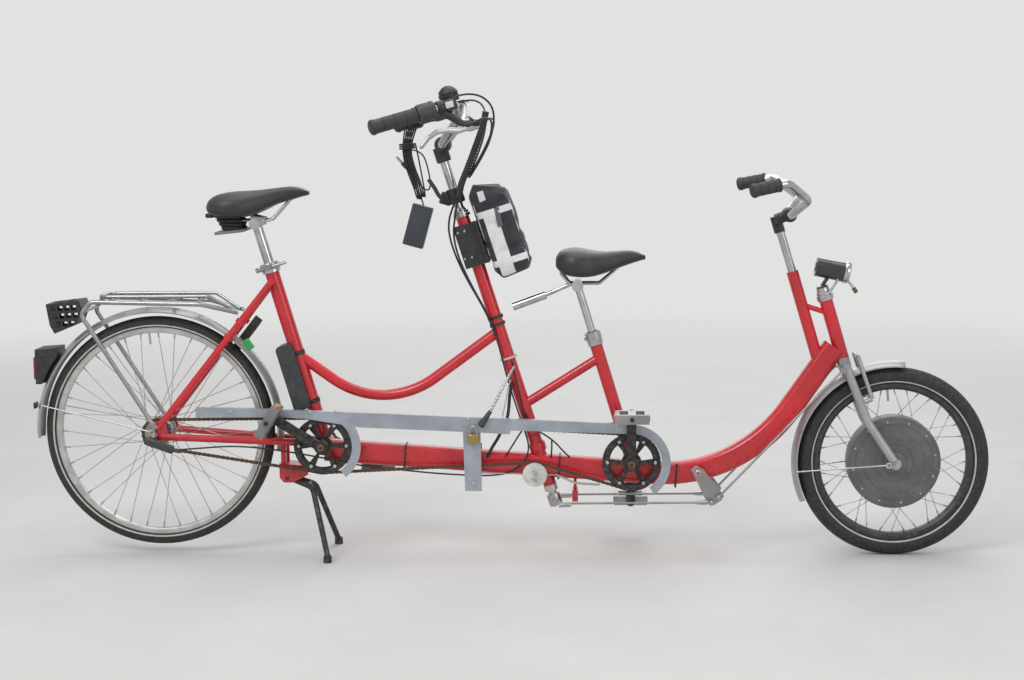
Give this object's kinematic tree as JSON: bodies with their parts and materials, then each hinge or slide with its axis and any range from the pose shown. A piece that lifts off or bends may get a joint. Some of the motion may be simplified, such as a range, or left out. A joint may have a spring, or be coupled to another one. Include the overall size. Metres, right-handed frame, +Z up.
{
  "type": "electric tandem bicycle",
  "caption": "Long electric tandem bicycle: adult rider steers from the rear through rods, child pedals in front, hub motor in the small front wheel, on its centre stand.",
  "frame": {"origin": "on the floor under the middle of the bounding box", "axes": "+X forward, +Y to the rider's left, +Z up"},
  "size_m": [2.5189, 0.635, 1.226],
  "materials": {
    "frame_paint": "gloss red paint",
    "fork_paint": "satin light grey paint",
    "guard_paint": "silver grey blue paint",
    "silver_plastic": "silver grey plastic",
    "steel": "dull plated steel",
    "chrome": "bright plating",
    "alloy": "satin",
    "motor_alloy": "satin grey casting",
    "black_paint": "satin black",
    "tyre_rubber": "matt",
    "grip_rubber": "matt",
    "saddle_cover": "semi-matt black cover",
    "black_plastic": "matt black",
    "grey_plastic": "matt grey",
    "white_nylon": "matt white",
    "red_lens": "clear red",
    "rusty_steel": "rusty chain steel",
    "bag_fabric": "dark woven nylon",
    "cable_sheath": "black flexible sheath"
  },
  "bodies": {
    "frame": {"main_tube": "frame_paint", "rear_seat_tube": "frame_paint", "top_tube": "frame_paint", "column_tube": "frame_paint", "front_seat_tube": "frame_paint", "head_tube": "frame_paint", "bar_tube": "frame_paint", "rear_stays": "frame_paint", "rear_axle": "steel", "rear_mudguard": "silver_plastic", "rack": "alloy", "tail_bracket": "black_plastic", "tail_lamp": "black_plastic", "tail_lens": "red_lens", "ring_lock": "black_plastic", "rear_seat_post": "chrome", "rear_saddle": "saddle_cover", "front_seat_post": "chrome", "front_saddle": "saddle_cover", "controller_box": "black_plastic", "chain": "rusty_steel", "chain_guard": "guard_paint", "idler": "white_nylon", "bag_holder": "black_paint", "battery_bag": "bag_fabric", "front_bar": "chrome", "front_grips": "grip_rubber"},
    "rear_wheel": {"rear_tyre": "tyre_rubber", "rear_rim": "steel", "rear_hub": "alloy"},
    "front_wheel": {"front_tyre": "tyre_rubber", "front_rim": "alloy", "hub_motor": "motor_alloy"},
    "fork": {"fork": "fork_paint", "front_axle": "steel", "front_mudguard": "silver_plastic", "headlamp": "black_plastic", "front_brake": "alloy"},
    "handlebar": {"steering_shaft": "black_paint", "rear_bar": "alloy", "rear_grips": "grip_rubber", "bar_fittings": "black_plastic", "charger": "black_plastic", "cable_hank": "cable_sheath"},
    "rear_crank": {"rear_crank": "black_paint", "rear_ring": "black_paint"},
    "front_crank": {"front_crank": "black_paint", "front_ring": "black_paint"},
    "rear_right_pedal": {"rear_right_pedal": "grey_plastic"},
    "rear_left_pedal": {"rear_left_pedal": "grey_plastic"},
    "front_right_pedal": {"front_right_pedal": "alloy"},
    "front_left_pedal": {"front_left_pedal": "alloy"},
    "stand": {"centre_stand": "black_paint"},
    "right_bellcrank": {"right_bellcrank": "steel"},
    "left_bellcrank": {"left_bellcrank": "steel"},
    "right_tie_rod": {"right_tie_rod": "steel"},
    "left_tie_rod": {"left_tie_rod": "steel"},
    "right_push_rod": {"right_push_rod": "steel"},
    "left_push_rod": {"left_push_rod": "steel"}
  },
  "joints": [
    {"name": "front_steer", "type": "hinge", "parent": "frame", "child": "fork", "pos_m": [0.8315, 0, 0.674], "axis": [-0.2815, 0, 0.9596], "range_deg": [-30, 30]},
    {"name": "front_wheel_spin", "type": "hinge", "parent": "fork", "child": "front_wheel", "pos_m": [1.0105, 0, 0.249], "axis": [0, 1, 0], "continuous": true},
    {"name": "rear_wheel_spin", "type": "hinge", "parent": "frame", "child": "rear_wheel", "pos_m": [-0.9275, 0, 0.333], "axis": [0, 1, 0], "continuous": true},
    {"name": "handlebar_steer", "type": "hinge", "parent": "frame", "child": "handlebar", "pos_m": [-0.1145, 0, 0.897], "axis": [-0.3009, 0, 0.9537], "range_deg": [-25.5, 25.5]},
    {"name": "right_bellcrank_pivot", "type": "hinge", "parent": "frame", "child": "right_bellcrank", "pos_m": [0.4975, -0.05, 0.228], "axis": [0, 1, 0], "range_deg": [-18.3, 18.3]},
    {"name": "right_push_rod_pin", "type": "hinge", "parent": "right_bellcrank", "child": "right_push_rod", "pos_m": [0.5515, -0.06, 0.164], "axis": [0, 1, 0], "range_deg": [-19.8, 19.8]},
    {"name": "right_tie_rod_pin", "type": "hinge", "parent": "right_bellcrank", "child": "right_tie_rod", "pos_m": [0.5325, -0.06, 0.15], "axis": [0, 1, 0], "range_deg": [-17.7, 17.7]},
    {"name": "left_bellcrank_pivot", "type": "hinge", "parent": "frame", "child": "left_bellcrank", "pos_m": [0.4975, 0.05, 0.228], "axis": [0, 1, 0], "range_deg": [-18.3, 18.3]},
    {"name": "left_push_rod_pin", "type": "hinge", "parent": "left_bellcrank", "child": "left_push_rod", "pos_m": [0.5515, 0.06, 0.164], "axis": [0, 1, 0], "range_deg": [-19.8, 19.8]},
    {"name": "left_tie_rod_pin", "type": "hinge", "parent": "left_bellcrank", "child": "left_tie_rod", "pos_m": [0.5325, 0.06, 0.15], "axis": [0, 1, 0], "range_deg": [-17.7, 17.7]},
    {"name": "rear_crank_spin", "type": "hinge", "parent": "frame", "child": "rear_crank", "pos_m": [-0.4865, 0, 0.3], "axis": [0, 1, 0], "continuous": true},
    {"name": "front_crank_spin", "type": "hinge", "parent": "frame", "child": "front_crank", "pos_m": [0.3245, 0, 0.255], "axis": [0, 1, 0], "continuous": true},
    {"name": "rear_right_pedal_spin", "type": "hinge", "parent": "rear_crank", "child": "rear_right_pedal", "pos_m": [-0.61371, -0.13, 0.37949], "axis": [0, 1, 0], "continuous": true},
    {"name": "rear_left_pedal_spin", "type": "hinge", "parent": "rear_crank", "child": "rear_left_pedal", "pos_m": [-0.35929, 0.13, 0.22051], "axis": [0, 1, 0], "continuous": true},
    {"name": "front_right_pedal_spin", "type": "hinge", "parent": "front_crank", "child": "front_right_pedal", "pos_m": [0.3245, -0.13, 0.387], "axis": [0, 1, 0], "continuous": true},
    {"name": "front_left_pedal_spin", "type": "hinge", "parent": "front_crank", "child": "front_left_pedal", "pos_m": [0.3245, 0.13, 0.123], "axis": [0, 1, 0], "continuous": true},
    {"name": "stand_fold", "type": "hinge", "parent": "frame", "child": "stand", "pos_m": [-0.5855, 0, 0.208], "axis": [0, 1, 0], "range_deg": [0, 95]}
  ],
  "couplings": [
    {"joint": "handlebar_steer", "follows": "front_steer", "ratio": 0.85},
    {"joint": "right_bellcrank_pivot", "follows": "front_steer", "ratio": -0.61},
    {"joint": "right_push_rod_pin", "follows": "front_steer", "ratio": 0.66},
    {"joint": "right_tie_rod_pin", "follows": "front_steer", "ratio": 0.59},
    {"joint": "left_bellcrank_pivot", "follows": "front_steer", "ratio": 0.61},
    {"joint": "left_push_rod_pin", "follows": "front_steer", "ratio": -0.66},
    {"joint": "left_tie_rod_pin", "follows": "front_steer", "ratio": -0.59},
    {"joint": "front_crank_spin", "follows": "rear_crank_spin", "ratio": 1}
  ]
}
